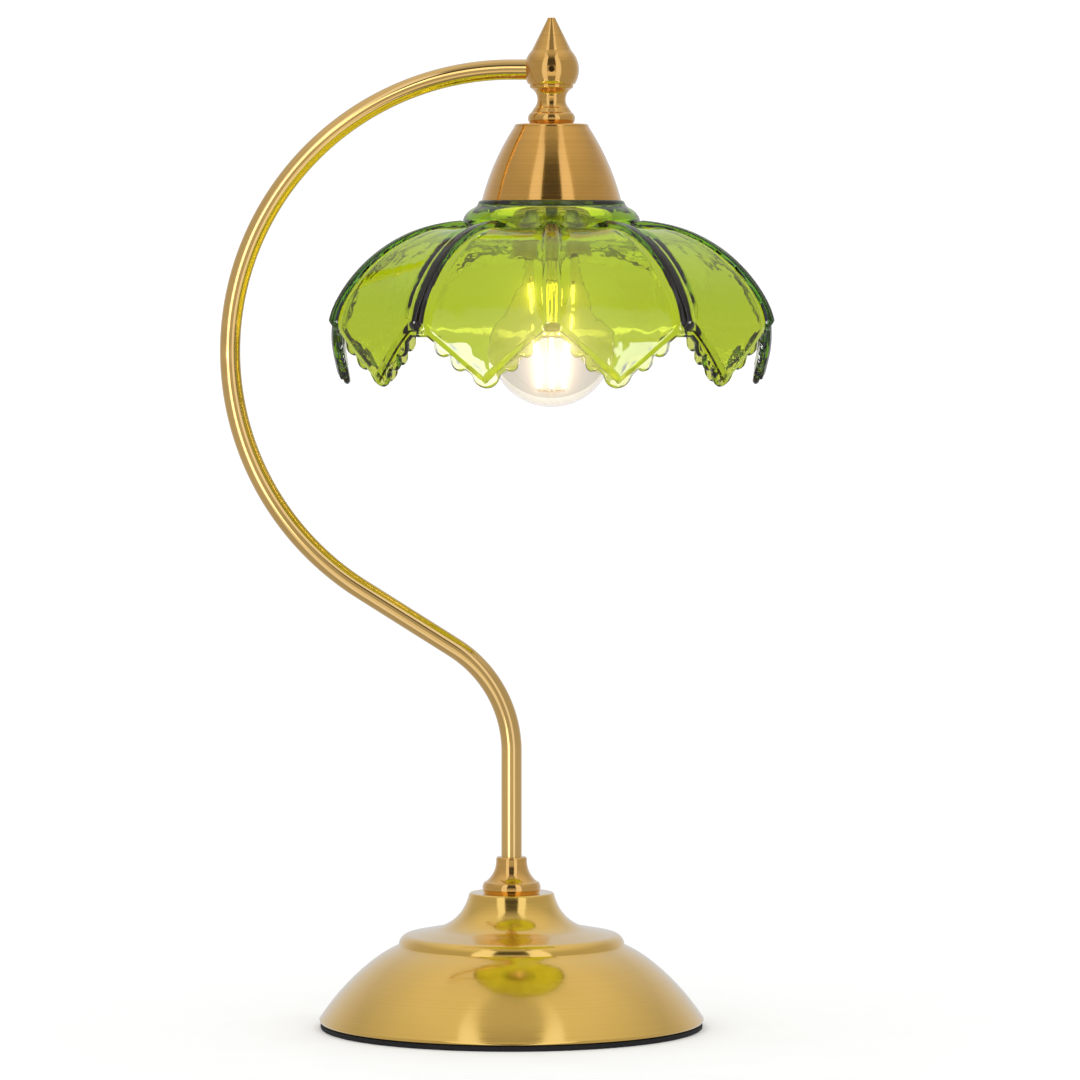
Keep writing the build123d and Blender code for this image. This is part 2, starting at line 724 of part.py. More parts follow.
# The glass stem in the lamp carries four filaments, closer together at the foot, on thin wires.
filament_low = bulb_centre - bulb_radius + filament_foot
filament_high = filament_low + filament_length
stem_top = bulb_tip - bulb_cap_length + 1.0
stem_throat = stem_top - 18.0
stem_tip = filament_low - 2.6
stem_flare = bulb_neck_radius - bulb_wall - slip
stem_radius = 2.0
stem_face = closed_face(
    Polyline((0, stem_top), (stem_flare, stem_top), (stem_flare, stem_top - 1.0)),
    ThreePointArc((stem_flare, stem_top - 1.0), (5.5, stem_top - 6.0), (stem_radius, stem_throat)),
    Polyline((stem_radius, stem_throat), (stem_radius, stem_tip), (0, stem_tip), (0, stem_top)),
)
bulb_stem = turned(stem_face, head_offset)
bulb_filaments = []
bulb_wires = []
wire_thickness = 0.4
wire_drop = 1.6
solder_gap = 0.05
filament_ends = (
    (filament_foot_circle, filament_low - solder_gap, filament_low - wire_drop),
    (filament_head_circle, filament_high + solder_gap, filament_high + wire_drop),
)
for angle in range(0, 360, 90):
    place = Pos(head_offset, 0, 0) * Rot(0, 0, angle)
    line = Line((filament_foot_circle, 0, filament_low), (filament_head_circle, 0, filament_high))
    stick = sweep(Plane(origin=line @ 0, z_dir=line % 0) * Circle(filament_radius), path=line)
    bulb_filaments.append(place * stick)
    for circle, end, level in filament_ends:
        path = Polyline((stem_radius, 0, level), (circle, 0, level), (circle, 0, end))
        section = Plane(origin=path @ 0, z_dir=path % 0) * Circle(wire_thickness)
        bulb_wires.append(place * sweep(section, path=path, transition=Transition.RIGHT))

parts = {
    "base_pad": base_pad,
    "base_shell": base_shell,
    "cord_bushing": cord_bushing,
    "base_weight": base_weight,
    "terminal_block": terminal_block,
    "terminal_screws": Compound(children=terminal_screws),
    "earth_screw": earth_screw,
    "stem_collar": stem_collar,
    "arm_tube": arm_tube,
    "base_nipple": base_nipple,
    "base_washer": base_washer,
    "base_nut": base_nut,
    "head_elbow": head_elbow,
    "arm_set_screw": arm_set_screw,
    "finial": finial,
    "cup": cup,
    "cup_washer": cup_washer,
    "cup_nut": cup_nut,
    "head_nipple": head_nipple,
    "holder_cap": holder_cap,
    "holder_skirt": holder_skirt,
    "contact_block": contact_block,
    "screw_shell": screw_shell,
    "contact_plunger": contact_plunger,
    "contact_spring": contact_spring,
    "terminal_posts": Compound(children=terminal_posts),
    "live_wire": wires[0],
    "neutral_wire": wires[1],
    "shade_ring": shade_ring,
    "glass_shade": glass_shade,
    "bulb_glass": bulb_glass,
    "bulb_cap": bulb_cap,
    "bulb_insulator": bulb_insulator,
    "bulb_contact": bulb_contact,
    "bulb_stem": bulb_stem,
    "bulb_filaments": Compound(children=bulb_filaments),
    "bulb_wires": Compound(children=bulb_wires),
}

os.makedirs("parts", exist_ok=True)
for name, shape in parts.items():
    export_step(shape, f"parts/{name}.step")
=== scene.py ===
"""Table lamp: a spun brass base, a bowed tube arm and a petal shade of green pressed glass.

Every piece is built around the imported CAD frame, in metres, with Z up and the front towards -Y.
"""
import cmath
from math import atan, cos, degrees, pi, radians, sin, sqrt, tan

import bpy
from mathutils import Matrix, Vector, noise


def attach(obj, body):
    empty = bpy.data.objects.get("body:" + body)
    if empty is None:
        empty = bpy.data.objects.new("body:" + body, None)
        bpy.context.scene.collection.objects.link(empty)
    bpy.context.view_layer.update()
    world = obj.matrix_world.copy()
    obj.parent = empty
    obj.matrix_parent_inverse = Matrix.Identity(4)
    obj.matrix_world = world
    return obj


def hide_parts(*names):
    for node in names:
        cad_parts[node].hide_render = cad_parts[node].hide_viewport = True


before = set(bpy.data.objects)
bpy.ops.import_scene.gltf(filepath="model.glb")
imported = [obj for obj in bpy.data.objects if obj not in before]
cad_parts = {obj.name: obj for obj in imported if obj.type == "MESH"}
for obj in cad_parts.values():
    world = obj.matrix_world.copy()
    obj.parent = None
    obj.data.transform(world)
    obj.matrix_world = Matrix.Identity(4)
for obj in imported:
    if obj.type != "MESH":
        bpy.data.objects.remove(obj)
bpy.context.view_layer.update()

# Foam pad. A disc of black foam sheet, die cut and glued under the rim of the base,
# so that the lamp doesn't slide or mark the table.
mm = 0.001
arc_step = 2.5
merge_gap = 0.00001
sharp_edge = radians(40)


def linear(hex_colour):
    """An sRGB hex colour as linear red, green, blue and alpha."""
    channels = [int(hex_colour[place:place + 2], 16) / 255 for place in (1, 3, 5)]
    return tuple(c / 12.92 if c <= 0.04045 else ((c + 0.055) / 1.055) ** 2.4 for c in channels) + (1.0,)


def add_node(owner, kind, inputs=None, **settings):
    """Adds a node, gives it its settings, and sets or links its inputs."""
    node = owner.node_tree.nodes.new(kind)
    for name, value in settings.items():
        setattr(node, name, value)
    for name, value in (inputs or {}).items():
        if isinstance(value, bpy.types.NodeSocket):
            owner.node_tree.links.new(value, node.inputs[name])
        else:
            node.inputs[name].default_value = value
    return node


def new_finish(name, **values):
    """A material with a Principled shader, and the values that are the same all over it."""
    finish = bpy.data.materials.new(name)
    finish.use_nodes = True
    shader = finish.node_tree.nodes["Principled BSDF"]
    for socket, value in values.items():
        shader.inputs[socket.replace("_", " ")].default_value = value
    return finish, shader


def join(finish, outlet, inlet):
    """Links one socket to another."""
    finish.node_tree.links.new(outlet, inlet)


def turned_piece(name, axis_x, outline, steps):
    """Draws an outline and spins it about an upright axis, in mm.

    Each point is a radius, a height, how far the run to it bows out, and how far its corner is rounded.
    An arc gets an edge for each arc_step degrees.
    """
    run = []
    corners = []
    for radius, height, bow, rounding in outline:
        point = complex(radius, height)
        if bow and run:
            start = run[-1]
            chord = abs(point - start)
            turn = 4 * atan(2 * bow / chord)
            bend = (chord**2 / 4 + bow**2) / (2 * bow)
            centre = (start + point) / 2 + 1j * (point - start) / chord * (bow - bend)
            count = max(3, int(abs(degrees(turn)) / arc_step))
            for step in range(1, count):
                run.append(centre + (start - centre) * cmath.exp(-1j * turn * step / count))
        run.append(point)
        if rounding:
            corners.append((point, rounding))
    bpy.ops.object.select_all(action="DESELECT")
    bpy.ops.mesh.primitive_plane_add(size=0.0001)
    piece = bpy.context.object
    piece.name = name
    piece.data.name = name
    bpy.ops.object.mode_set(mode="EDIT")
    bpy.ops.mesh.merge(type="CENTER")
    here = complex(-axis_x, 0)
    for number, point in enumerate(run):
        move = ((point - here).real * mm, 0, (point - here).imag * mm)
        if number == 0:
            bpy.ops.transform.translate(value=move)
        else:
            bpy.ops.mesh.extrude_region_move(TRANSFORM_OT_translate={"value": move})
        here = point
    for corner, rounding in corners:
        bpy.ops.mesh.select_all(action="DESELECT")
        bpy.ops.object.mode_set(mode="OBJECT")
        spot = Vector(((axis_x + corner.real) * mm, 0, corner.imag * mm))
        nearest = min(piece.data.vertices, key=lambda vertex: (vertex.co - spot).length)
        nearest.select = True
        bpy.ops.object.mode_set(mode="EDIT")
        bpy.ops.mesh.bevel(affect="VERTICES", offset=rounding * mm, segments=5)
    bpy.ops.mesh.select_all(action="SELECT")
    bpy.ops.mesh.spin(steps=steps, angle=2 * pi, center=(axis_x * mm, 0, 0), axis=(0, 0, 1))
    bpy.ops.mesh.select_all(action="SELECT")
    bpy.ops.mesh.remove_doubles(threshold=merge_gap)
    bpy.ops.mesh.normals_make_consistent(inside=False)
    bpy.ops.object.mode_set(mode="OBJECT")
    bpy.ops.object.shade_smooth_by_angle(angle=sharp_edge)
    piece.modifiers.new("even shine", "WEIGHTED_NORMAL").keep_sharp = True
    bpy.ops.object.modifier_apply(modifier="even shine")
    return piece


# Black closed-cell foam: matt, with a fine pebbled skin. The pebbles are drawn at 1 mm.
pebbles_per_metre, pebble_depth = 1000.0, 0.0003
foam, foam_shader = new_finish("closed_cell_foam_black", Roughness=0.85)
foam_place = add_node(foam, "ShaderNodeTexCoord")
pebbles = add_node(foam, "ShaderNodeTexVoronoi", {"Vector": foam_place.outputs["Object"],
                                                  "Scale": pebbles_per_metre})
foam_shade = add_node(foam, "ShaderNodeValToRGB", {"Fac": pebbles.outputs["Distance"]})
foam_shade.color_ramp.elements[0].color = linear("#1C1B1A")
foam_shade.color_ramp.elements[1].color = linear("#0D0C0C")
foam_skin = add_node(foam, "ShaderNodeBump", {"Height": pebbles.outputs["Distance"], "Strength": 0.4,
                                              "Distance": pebble_depth}, invert=True)
join(foam, foam_shade.outputs["Color"], foam_shader.inputs["Base Color"])
join(foam, foam_skin.outputs["Normal"], foam_shader.inputs["Normal"])

pad_radius, pad_top = 93.4, 2.5
pad_outline = [(0, pad_top, 0, 0), (pad_radius, pad_top, 0, 0.4), (pad_radius, 0, 0, 0.7), (0, 0, 0, 0)]
pad = turned_piece("foam_pad", 0, pad_outline, 192)
pad.data.materials.append(foam)
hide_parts("base_pad")
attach(pad, "stand")

# Base. One steel disc spun over a form to a flare, a ledge with a soft lip and a wide dome,
# its rim rolled under, then brass plated, brushed in the lathe and lacquered.
# Brushed brass under lacquer: the turned lines are about 0.4 mm apart and are drawn at 1.1 mm to show.
lines_per_metre, clouds_per_metre = 900.0, 45.0
line_share, cloud_share = 0.6, 0.4
grain_low, grain_high = 0.3, 0.7
ridge_height = 0.00004
lacquer_gloss = 0.04


def turned_brass(name, axis_x, pale, dark, roughness, line_depth):
    """Brass with fine lines round an upright axis, which smear a highlight along that axis."""
    finish, shader = new_finish(name, Metallic=1.0, Anisotropic=0.75, Anisotropic_Rotation=0.25,
                                Coat_Weight=1.0, Coat_Roughness=lacquer_gloss)
    place = add_node(finish, "ShaderNodeTexCoord")
    centred = add_node(finish, "ShaderNodeMapping", {"Vector": place.outputs["Object"],
                                                     "Location": (-axis_x * mm, 0, 0)})
    flat = add_node(finish, "ShaderNodeVectorMath", {0: centred.outputs["Vector"], 1: (1, 1, 0)},
                    operation="MULTIPLY")
    radius = add_node(finish, "ShaderNodeVectorMath", {0: flat.outputs["Vector"]}, operation="LENGTH")
    split = add_node(finish, "ShaderNodeSeparateXYZ", {"Vector": place.outputs["Object"]})
    along = add_node(finish, "ShaderNodeCombineXYZ", {"X": radius.outputs["Value"],
                                                      "Y": split.outputs["Z"]})
    lines = add_node(finish, "ShaderNodeTexNoise", {"Vector": along.outputs["Vector"], "Detail": 2.0,
                                                    "Scale": lines_per_metre}, noise_dimensions="2D")
    clouds = add_node(finish, "ShaderNodeTexNoise", {"Vector": place.outputs["Object"], "Detail": 3.0,
                                                     "Scale": clouds_per_metre})
    streaks = add_node(finish, "ShaderNodeMath", {0: lines.outputs["Fac"], 1: line_share},
                       operation="MULTIPLY")
    tones = add_node(finish, "ShaderNodeMath", {0: clouds.outputs["Fac"], 1: cloud_share,
                                                2: streaks.outputs["Value"]}, operation="MULTIPLY_ADD")
    tint = add_node(finish, "ShaderNodeValToRGB", {"Fac": tones.outputs["Value"]})
    tint.color_ramp.elements[0].position = grain_low
    tint.color_ramp.elements[0].color = linear(dark)
    tint.color_ramp.elements[1].position = grain_high
    tint.color_ramp.elements[1].color = linear(pale)
    grain = add_node(finish, "ShaderNodeMapRange", {"Value": lines.outputs["Fac"], "From Min": grain_low,
                                                    "From Max": grain_high, "To Min": roughness - 0.03,
                                                    "To Max": roughness + 0.04})
    ridges = add_node(finish, "ShaderNodeBump", {"Height": lines.outputs["Fac"], "Strength": line_depth,
                                                 "Distance": ridge_height})
    around = add_node(finish, "ShaderNodeTangent", direction_type="RADIAL", axis="Z")
    join(finish, tint.outputs["Color"], shader.inputs["Base Color"])
    join(finish, grain.outputs["Result"], shader.inputs["Roughness"])
    join(finish, ridges.outputs["Normal"], shader.inputs["Normal"])
    join(finish, around.outputs["Tangent"], shader.inputs["Tangent"])
    return finish


# The outside from the top disc over flare, ledge and dome to the rolled rim, then the inside back up.
base_outline = [
    (4.2, 66.3, 0, 0), (19.7, 66.3, 0, 0), (20.9, 65.1, 0.35, 0), (24.8, 56.7, -0.44, 0),
    (38.0, 48.4, -1.44, 0), (50.9, 45.9, 0, 0), (55.2, 40.7, 1.21, 0), (56.2, 39.9, 0, 0),
    (70.0, 31.2, 0.5, 0), (94.0, 4.5, 1.38, 0), (92.0, 2.5, 0.59, 0), (88.0, 2.5, 0, 0),
    (88.0, 3.4, 0, 0), (92.0, 3.4, 0, 0), (93.1, 4.5, -0.32, 0), (69.1, 30.3, -1.38, 0),
    (55.3, 39.0, -0.5, 0), (54.3, 39.8, 0, 0), (50.0, 45.0, -1.21, 0), (37.1, 47.5, 0, 0),
    (23.9, 55.8, 1.44, 0), (20.0, 64.2, 0.44, 0), (18.8, 65.4, -0.35, 0), (4.2, 65.4, 0, 0),
    (4.2, 66.3, 0, 0),
]
base = turned_piece("spun_base", 0, base_outline, 256)
base_brass = turned_brass("brushed_lacquered_brass_base", 0, "#F4C75C", "#F0C157", 0.15, 0.12)
base.data.materials.append(base_brass)
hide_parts("base_shell")
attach(base, "stand")

# Inlet bushing. A soft black rubber grommet snapped into the hole low in the rear of the base,
# where the mains cord goes in.
# Moulded rubber: matt, slightly uneven in tone.


def dress(finish, *names):
    """Gives CAD nodes a better material."""
    for name in names:
        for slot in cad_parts[name].material_slots:
            slot.material = finish


def mottled(name, pale, dark, grain, rough_low, rough_high, depth, **values):
    """A finish with a soft two-tone mottle of the given grain in mm, uneven gloss and a slight bump."""
    finish, shader = new_finish(name, **values)
    place = add_node(finish, "ShaderNodeTexCoord")
    mottle = add_node(finish, "ShaderNodeTexNoise", {"Vector": place.outputs["Object"], "Detail": 4.0,
                                                     "Scale": 1000.0 / grain})
    tone = add_node(finish, "ShaderNodeValToRGB", {"Fac": mottle.outputs["Fac"]})
    tone.color_ramp.elements[0].position = grain_low
    tone.color_ramp.elements[0].color = linear(dark)
    tone.color_ramp.elements[1].position = grain_high
    tone.color_ramp.elements[1].color = linear(pale)
    gloss = add_node(finish, "ShaderNodeMapRange", {"Value": mottle.outputs["Fac"], "From Min": grain_low,
                                                    "From Max": grain_high, "To Min": rough_low,
                                                    "To Max": rough_high})
    skin = add_node(finish, "ShaderNodeBump", {"Height": mottle.outputs["Fac"], "Strength": 0.3,
                                               "Distance": depth * mm})
    join(finish, tone.outputs["Color"], shader.inputs["Base Color"])
    join(finish, gloss.outputs["Result"], shader.inputs["Roughness"])
    join(finish, skin.outputs["Normal"], shader.inputs["Normal"])
    return finish


rubber = mottled("moulded_rubber_black", "#232222", "#161616", 1.5, 0.55, 0.75, 0.05)
dress(rubber, "cord_bushing")

# Ballast and what is clamped in it. A grey painted iron casting, pulled up against the shell
# by a nipple, a toothed washer and a nut, with the mains terminals in a pocket.
# Cast iron under grey paint, zinc plated steel, moulded nylon and PVC wire sleeve.
cast_iron = mottled("painted_cast_iron_grey", "#4A4A4C", "#2E2E30", 2.0, 0.5, 0.75, 0.2)
zinc = mottled("zinc_plated_steel", "#C9C8C2", "#A9A8A2", 3.0, 0.25, 0.4, 0.02, Metallic=1.0)
nylon = mottled("moulded_nylon_white", "#E6E3DA", "#D9D6CC", 2.0, 0.4, 0.5, 0.03)
brown_sleeve = mottled("pvc_sleeve_brown", "#5A3319", "#4A2A14", 1.0, 0.35, 0.5, 0.02)
blue_sleeve = mottled("pvc_sleeve_blue", "#2F62B0", "#27559C", 1.0, 0.35, 0.5, 0.02)
dress(cast_iron, "base_weight")
dress(zinc, "base_nipple", "base_washer", "base_nut", "terminal_screws", "earth_screw")
dress(nylon, "terminal_block")
dress(brown_sleeve, "live_wire")
dress(blue_sleeve, "neutral_wire")

# Collar. A turned and polished brass foot with a round bead and a swept neck,
# bored for the arm and clamped on the base by the nipple.
# Polished brass: the tool's lines are only just left under the lacquer.
polished = turned_brass("polished_lacquered_brass_collar", 0, "#EAB55A", "#E0AA4E", 0.09, 0.05)
collar_outline = [
    (5.05, 83.8, 0, 0), (7.0, 83.8, 0, 0.2), (7.6, 82.8, 0, 0.3), (12.5, 71.7, -1.53, 0),
    (13.3, 71.5, 0, 0.2), (13.6, 66.3, 0.75, 0), (4.2, 66.3, 0, 0), (4.2, 71.8, 0, 0),
    (5.05, 71.8, 0, 0), (5.05, 83.8, 0, 0),
]
collar = turned_piece("turned_collar", 0, collar_outline, 128)
collar.data.materials.append(polished)
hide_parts("stem_collar")
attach(collar, "stand")

# Arm. One length of 10 mm tube: up from the collar, over a bend, along a slope and round a wide bow
# to the ball, bent cold, then brushed and plated.
tube_radius, tube_wall = 5.0, 1.0
stem_foot = 71.8
bend_foot, bend_radius = 135.4, 60.0
slope = 32.3
bow_radius, bow_height = 137.0, 330.5
arm_end = 26.0
run_steps, bend_steps, bow_steps = 4, 28, 96
bend_turn, slope_turn = radians(90 - slope), radians(slope)
bend_top = Vector((-bend_radius * (1 - cos(bend_turn)), 0, bend_foot + bend_radius * sin(bend_turn))) * mm
bow_foot = Vector((-bow_radius * sin(slope_turn), 0, bow_height - bow_radius * cos(slope_turn))) * mm
bend_centre = (-bend_radius * mm, 0, bend_foot * mm)
bow_centre = (0, 0, bow_height * mm)
bpy.ops.object.select_all(action="DESELECT")
bpy.ops.mesh.primitive_circle_add(vertices=48, radius=tube_radius * mm)
arm = bpy.context.object
arm.name = "bowed_arm"
arm.data.name = "bowed_arm"
bpy.ops.object.mode_set(mode="EDIT")
bpy.ops.transform.translate(value=(0, 0, stem_foot * mm))
for step in range(run_steps):
    rise = (bend_foot - stem_foot) / run_steps * mm
    bpy.ops.mesh.extrude_region_move(TRANSFORM_OT_translate={"value": (0, 0, rise)})
bpy.ops.mesh.spin(steps=bend_steps, angle=bend_turn, center=bend_centre, axis=(0, 1, 0))
for step in range(run_steps):
    bpy.ops.mesh.extrude_region_move(TRANSFORM_OT_translate={"value": (bow_foot - bend_top) / run_steps})
bpy.ops.mesh.spin(steps=bow_steps, angle=slope_turn - pi, center=bow_centre, axis=(0, 1, 0))
bpy.ops.mesh.extrude_region_move(TRANSFORM_OT_translate={"value": (arm_end * mm, 0, 0)})
bpy.ops.mesh.select_all(action="SELECT")
bpy.ops.mesh.remove_doubles(threshold=merge_gap)
bpy.ops.mesh.normals_make_consistent(inside=False)
bpy.ops.object.mode_set(mode="OBJECT")
bpy.ops.object.shade_smooth()
wall = arm.modifiers.new("tube wall", "SOLIDIFY")
wall.thickness = tube_wall * mm
wall.offset = -1.0
bpy.ops.object.modifier_apply(modifier="tube wall")
bpy.ops.object.shade_smooth_by_angle(angle=sharp_edge)

# Satin brass tube: polished lengthwise with a soft wheel, so it mirrors in crisp lines.
# The grain is fine and even, and is drawn at 1.4 mm to show.
grains_per_metre, grain_height = 700.0, 0.00003
satin, satin_shader = new_finish("satin_lacquered_brass_tube", Metallic=1.0, Coat_Weight=1.0,
                                 Coat_Roughness=lacquer_gloss)
satin_place = add_node(satin, "ShaderNodeTexCoord")
satin_grain = add_node(satin, "ShaderNodeTexNoise", {"Vector": satin_place.outputs["Object"], "Detail": 3.0,
                                                     "Scale": grains_per_metre})
satin_tint = add_node(satin, "ShaderNodeValToRGB", {"Fac": satin_grain.outputs["Fac"]})
satin_tint.color_ramp.elements[0].color = linear("#E0B464")
satin_tint.color_ramp.elements[1].color = linear("#E8BE6E")
satin_gloss = add_node(satin, "ShaderNodeMapRange", {"Value": satin_grain.outputs["Fac"],
                                                     "From Min": grain_low, "From Max": grain_high,
                                                     "To Min": 0.05, "To Max": 0.065})
satin_skin = add_node(satin, "ShaderNodeBump", {"Height": satin_grain.outputs["Fac"], "Strength": 0.05,
                                                "Distance": grain_height})
join(satin, satin_tint.outputs["Color"], satin_shader.inputs["Base Color"])
join(satin, satin_gloss.outputs["Result"], satin_shader.inputs["Roughness"])
join(satin, satin_skin.outputs["Normal"], satin_shader.inputs["Normal"])
arm.data.materials.append(satin)
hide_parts("arm_tube")
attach(arm, "stand")

# Ball with its neck, and the pointed finial screwed in its top. Turned from bar and polished, so the lines
# are faint; a small brass grub screw in the front of the ball locks the arm. Its brass is painted shade:
# dark all over, for the shade that falls in its hex socket.
head_axis = 19.5
polished_head = turned_brass("polished_lacquered_brass_head", head_axis, "#E8B255", "#DBA446", 0.1, 0.06)
# Painted shade: the screw's brass is coloured dark all over, for the shade that falls in its socket.
socket_shade_screw_brass = mottled("brass_screw_painted_socket_shade", "#5E4420", "#3E2C12", 1.0, 0.3, 0.5, 0.02, Metallic=1.0)
dress(polished_head, "head_elbow", "finial")
dress(socket_shade_screw_brass, "arm_set_screw")

# Cup. A spun brass cup that covers the lampholder, hung on the neck by the nipple and its nut.
# Brushed brass: plain turned lines under lacquer.
cup_outline = [
    (5.2, 441.2, 0, 0), (17.0, 441.2, 0, 0), (18.2, 439.8, 0.28, 0), (34.0, 404.0, 1.6, 0.25),
    (33.0, 404.0, 0, 0.25), (17.2, 438.8, -1.6, 0), (16.0, 440.2, -0.28, 0), (5.2, 440.2, 0, 0),
    (5.2, 441.2, 0, 0),
]
cup = turned_piece("spun_cup", head_axis, cup_outline, 192)
cup_brass = turned_brass("brushed_lacquered_brass_cup", head_axis, "#E8AD49", "#D9A040", 0.15, 0.6)
cup.data.materials.append(cup_brass)
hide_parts("cup")
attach(cup, "stand")
dress(zinc, "cup_washer", "cup_nut", "head_nipple")

# Lampholder. A brass cap and a skirt with an outside thread round a porcelain block,
# with a sprung centre contact and a screw shell, wired at two posts.
# Pale turned brass, bare brass contacts that have dulled, and matt unglazed porcelain.
holder_brass = turned_brass("plain_turned_brass_holder", head_axis, "#D8C690", "#C8B47E", 0.22, 0.2)
contact_brass = mottled("bare_brass_contacts", "#C9A45A", "#A8843F", 2.0, 0.25, 0.45, 0.02, Metallic=1.0)
porcelain = mottled("unglazed_porcelain", "#ECE8DE", "#DEDACF", 1.5, 0.5, 0.65, 0.03)
dress(holder_brass, "holder_cap", "holder_skirt", "shade_ring")
dress(contact_brass, "screw_shell", "contact_plunger", "terminal_posts")
dress(zinc, "contact_spring")
dress(porcelain, "contact_block")

# Shade. Thick green soda glass pressed in a mould: a collar, a round bead and ten petals with ribs between.
# Each petal turns in at its foot to a lip, and ends in a bevelled point with a thinner scalloped edge behind.
petals = 10
half_turn = radians(180 / petals)
glass = 5.0
root, crown, panel_bow = 39.5, 392.4, 70.5
turn_angle, turn_radius = radians(18.27), 9.0
lip_lean = radians(11)
bow_run = panel_bow * (pi / 2 - turn_angle)
turn_run = turn_radius * (turn_angle + lip_lean)
tip_level, arch_level, point_half = 317.0, 342.0, 29.6
edge_rise = (arch_level - tip_level) / point_half
edge_lean = sqrt(1 + edge_rise**2)
bevel, bevel_drop, set_back, step_width = 2.7, 0.9, 2.3, 0.4
flange_drop, edge_round = 3.0, 1.2
lobes = [(0.0, 321.4, 7.4), (13.1, 325.9, 4.0), (21.1, 332.75, 4.0)]
rib, rib_sink, rib_blend, rib_foot = 4.2, 2.0, 2.0, (-0.2, 3.0)
cushion, cushion_start, cushion_slope = 1.7, 6, (0.5, 9.0)
lip_flatness, lip_start = 0.7, (70, 92)
dish, dish_end = 2.2, (8, 30)
ripple, ripple_length = 0.15, 16.0
wave, wave_length, wave_shift = 0.3, 15.0, Vector((7, 3, 1))
least = 0.1


def bare_lean(run):
    """Which way a panel faces, before the mould's corners are eased."""
    if run < bow_run:
        return pi / 2 - max(run, 0.0) / panel_bow
    return max(turn_angle - (run - bow_run) / turn_radius, -lip_lean)


ease, ease_parts, fine_step, fine_steps = 13.0, 12, 0.25, 640
nearby = range(-ease_parts, ease_parts + 1)
profile = [(root, crown, pi / 2)]
for number in range(1, fine_steps):
    middle = (number - 0.5) * fine_step
    facing = sum(bare_lean(middle + ease * part / ease_parts) for part in nearby) / len(nearby)
    reach = profile[-1][0] + sin(facing) * fine_step
    height = profile[-1][1] - cos(facing) * fine_step
    profile.append((reach, height, facing))


def panel_point(run, depth):
    """Distance from the axis, height and outward normal of the middle of a panel, depth mm in the glass."""
    place = run / fine_step
    number = min(int(place), len(profile) - 2)
    share = place - number
    ends = zip(profile[number], profile[number + 1])
    reach, height, facing = (low + (high - low) * share for low, high in ends)
    normal = (cos(facing), sin(facing))
    return reach - depth * normal[0], height - depth * normal[1], normal


def point_line(side):
    """Height of the petal's straight pointed edge at a distance from its middle."""
    return tip_level + min(abs(side), point_half) * edge_rise


def scallop_line(side):
    """Height of the scalloped edge behind it."""
    level = point_line(side) - flange_drop
    for lobe_side, lobe_level, lobe_radius in lobes:
        inside = lobe_radius**2 - (abs(side) - lobe_side) ** 2
        if inside > 0:
            level = min(level, lobe_level - sqrt(inside))
    return level


def smooth(value, low, high):
    """0 below low, 1 above high and an even slope between."""
    share = min(1.0, max(0.0, (value - low) / (high - low)))
    return share * share * (3 - 2 * share)


search_above, search_below, halvings = 25, 36, 30


def run_to(across, line, lift):
    """How far down a panel it is to a line of its edge, or to lift mm above that line."""
    low, high = bow_run - search_above, bow_run + turn_run + search_below
    for halving in range(halvings):
        middle = (low + high) / 2
        reach, height, normal = panel_point(middle, 0)
        if height > line(across * reach * tan(half_turn)) + lift:
            low = middle
        else:
            high = middle
    return low


def root_dish(run, across):
    """How far the panel is dished below the collar's bead."""
    return dish * (1 - across**2) * (1 - smooth(run, *dish_end))


def outer_point(run, across):
    """A point on the outside of a petal, with its cushion, ribs, bevel and set-back edge."""
    reach, height, normal = panel_point(run, 0)
    side = across * reach * tan(half_turn)
    above = (height - point_line(side)) / edge_lean
    apart = (1 - abs(across)) * reach * tan(half_turn) * cos(half_turn)
    border = 1 / sqrt(1 / max(apart, least) ** 2 + 1 / max(run - cushion_start, least) ** 2)
    out = cushion * smooth(border, *cushion_slope) * (1 - lip_flatness * smooth(run, *lip_start))
    out -= root_dish(run, across)
    out -= bevel_drop * min(1.0, max(0.0, 1 - above / bevel))
    out -= (set_back - bevel_drop) * min(1.0, max(0.0, -above / step_width))
    out += noise.noise(Vector((reach, side, height)) / ripple_length) * ripple * (1 - across**4)
    panel = -apart * tan(half_turn)
    round_rib = -rib_sink + sqrt(rib**2 - apart**2) if apart < rib else panel - rib_blend
    over = max(rib_blend - abs(panel - round_rib), 0.0) / rib_blend
    rise = max(panel, round_rib) + over * over * rib_blend / 4 - panel
    rise *= smooth(above, *rib_foot)
    lean = half_turn if across > 0 else -half_turn
    foot = reach + out * normal[0]
    forward = rise * normal[0]
    return (foot + forward * cos(lean), across * foot * tan(half_turn) + forward * sin(lean),
            height + (out + rise) * normal[1])


def inner_point(run, across):
    """A point on the smooth inside of a petal, slightly wavy as the plunger leaves it."""
    reach, height, normal = panel_point(run, glass)
    side = across * reach * tan(half_turn)
    out = noise.noise(Vector((reach, side, height)) / wave_length + wave_shift) * wave * (1 - across**4)
    out -= root_dish(run, across)
    foot = reach + out * normal[0]
    return foot, across * foot * tan(half_turn), height + out * normal[1]


def ring_point(radius, height, across):
    """A point of the round collar."""
    angle = atan(across * tan(half_turn))
    return radius * cos(angle), radius * sin(angle), height


def round_edge(end, across):
    """The rounded edge between the outside and the inside, at the end of a petal."""
    outside = Vector(outer_point(end, across))
    inside = Vector(inner_point(end, across))
    nudge = 0.1
    before, after = panel_point(end - nudge, 0), panel_point(end + nudge, 0)
    down = Vector((after[0] - before[0], 0, after[1] - before[1])).normalized()
    down.y = across * down.x * tan(half_turn)
    shares = (0.1, 0.28, 0.5, 0.72, 0.9)
    return [tuple(outside.lerp(inside, share) + down * edge_round * sin(pi * share)) for share in shares]


